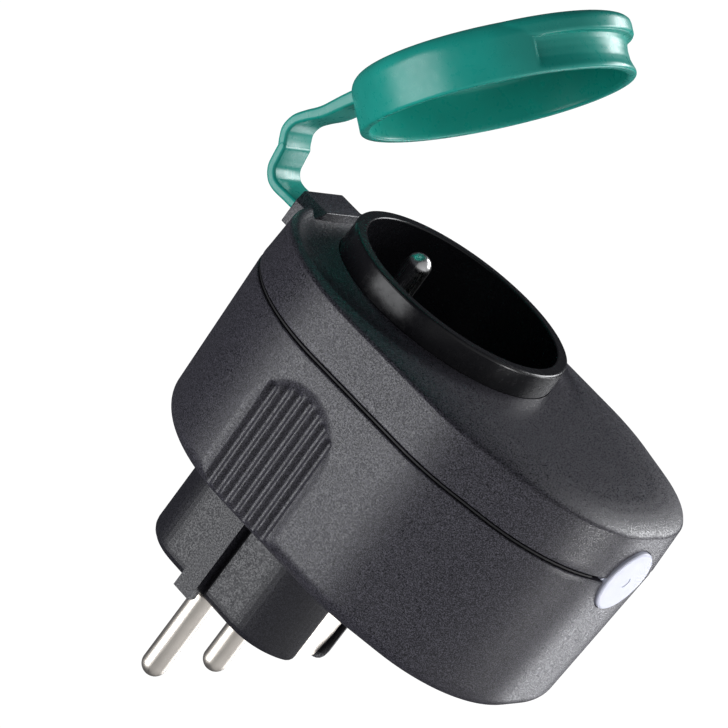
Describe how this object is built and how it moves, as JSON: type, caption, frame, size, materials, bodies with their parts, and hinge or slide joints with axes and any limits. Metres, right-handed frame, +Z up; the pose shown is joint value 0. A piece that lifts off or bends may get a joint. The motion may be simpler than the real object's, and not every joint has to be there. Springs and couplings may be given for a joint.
{
  "type": "smart plug",
  "caption": "Outdoor smart plug: drop-shaped black body, European plug with earth clips behind, recessed socket with earth pin and teal strap-hinged lid in front, push button below.",
  "frame": {"origin": "Centre of the plug's contact face, midway between the two pins.", "axes": "+Z up when plugged in, +Y into the wall along the pins, -Y towards the person, +X to the person's right"},
  "size_m": [0.0632, 0.1425, 0.1016],
  "materials": {
    "body_black": "fine spark-eroded texture, charcoal",
    "base_black": "fine satin texture, charcoal",
    "cup_black": "smooth moulded black",
    "seal_rubber": "soft black rubber",
    "nickel": "nickel plating, slightly warm",
    "earth_steel": "nickel plating, bright",
    "screw_steel": "zinc plated",
    "brass_contact": "pressed brass strip",
    "insulator": "heat-proof moulding, ivory",
    "board_green": "solder mask over fibreglass",
    "relay_black": "moulded relay case",
    "coil_yellow": "wound tape and ferrite",
    "cap_blue": "printed sleeve over a can",
    "varistor_blue": "dipped epoxy",
    "resistor_grey": "coated body",
    "shield_tin": "tinned shield can",
    "switch_dark": "moulded switch body",
    "plunger_ivory": "moulded plunger",
    "led_lens": "clear lens over a white body",
    "button_lilac": "pale translucent light guide",
    "lid_teal": "satin teal, flexible thermoplastic"
  },
  "bodies": {
    "chassis": {"rear_housing": "body_black", "front_cover": "body_black", "housing_seal": "seal_rubber", "housing_screws": "screw_steel", "plug_base": "base_black", "live_pin": "nickel", "neutral_pin": "nickel", "earth_bracket": "nickel", "plug_earth_contact": "brass_contact", "socket_cup": "cup_black", "cup_screws": "screw_steel", "socket_earth_pin": "earth_steel", "live_contact": "brass_contact", "neutral_contact": "brass_contact", "contact_carrier": "insulator", "earth_link": "brass_contact", "main_board": "board_green", "relay": "relay_black", "transformer": "coil_yellow", "filter_capacitor": "cap_blue", "surge_varistor": "varistor_blue", "fuse_resistor": "resistor_grey", "radio_module": "shield_tin", "button_board": "board_green", "button_switch": "switch_dark", "status_led": "led_lens", "button_seal": "seal_rubber", "hinge_pin": "screw_steel"},
    "strap": {"lid_strap": "lid_teal"},
    "lid": {"lid": "lid_teal"},
    "button": {"button": "button_lilac"},
    "plunger": {"switch_plunger": "plunger_ivory"}
  },
  "joints": [
    {"name": "strap_root", "type": "hinge", "parent": "chassis", "child": "strap", "pos_m": [0, -0.061, 0.031], "axis": [-1, 0, 0], "range_deg": [-13.62, 14]},
    {"name": "strap_bend", "type": "hinge", "parent": "strap", "child": "lid", "pos_m": [0, -0.0661, 0.04325], "axis": [-0.998, -0.0353, -0.0524], "range_deg": [-40.86, 42]},
    {"name": "button_press", "type": "slide", "parent": "chassis", "child": "button", "axis": [0, 0, 1], "range_m": [0, 0.0006], "stiffness_N_per_m": 300},
    {"name": "plunger_press", "type": "slide", "parent": "chassis", "child": "plunger", "axis": [0, 0, 1], "range_m": [0, 0.0006]}
  ],
  "couplings": [
    {"joint": "strap_bend", "follows": "strap_root", "ratio": 3},
    {"joint": "plunger_press", "follows": "button_press", "ratio": 1}
  ]
}
